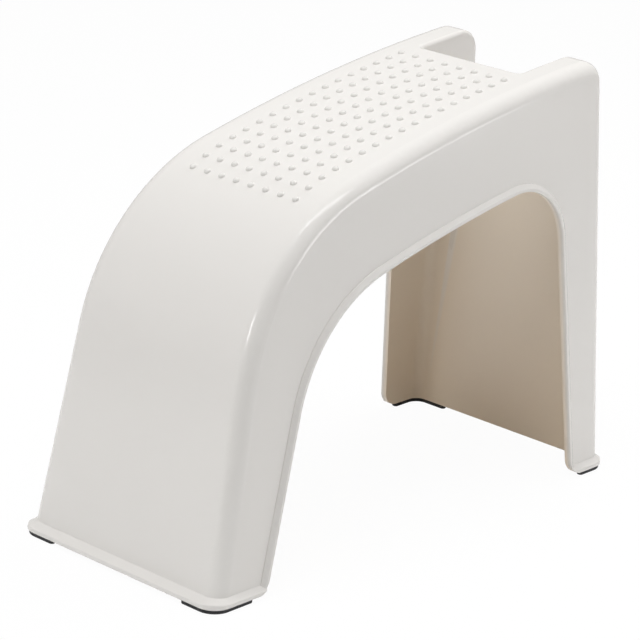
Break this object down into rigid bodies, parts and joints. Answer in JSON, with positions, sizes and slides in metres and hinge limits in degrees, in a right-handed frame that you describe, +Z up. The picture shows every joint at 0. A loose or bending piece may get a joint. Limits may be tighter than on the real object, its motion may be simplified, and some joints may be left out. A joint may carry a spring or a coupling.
{
  "type": "shower stool",
  "caption": "Low moulded arch stool for shower or bath, with a dotted sloping seat, a hand-hold notch at the rear and non-slip foot pads.",
  "frame": {"origin": "on the floor, under the middle of the stool", "axes": "+X across the stool to the right as seen from its front leg, +Y from the sloping front leg to the upright rear leg, +Z up"},
  "size_m": [0.194, 0.4155, 0.3107],
  "materials": {
    "shell_plastic": "glossy warm white, smooth moulded",
    "pad_rubber": "matt black"
  },
  "bodies": {
    "root": {"seat_shell": "shell_plastic", "front_left_foot_pad": "pad_rubber", "front_right_foot_pad": "pad_rubber", "rear_left_foot_pad": "pad_rubber", "rear_right_foot_pad": "pad_rubber"}
  },
  "joints": []
}
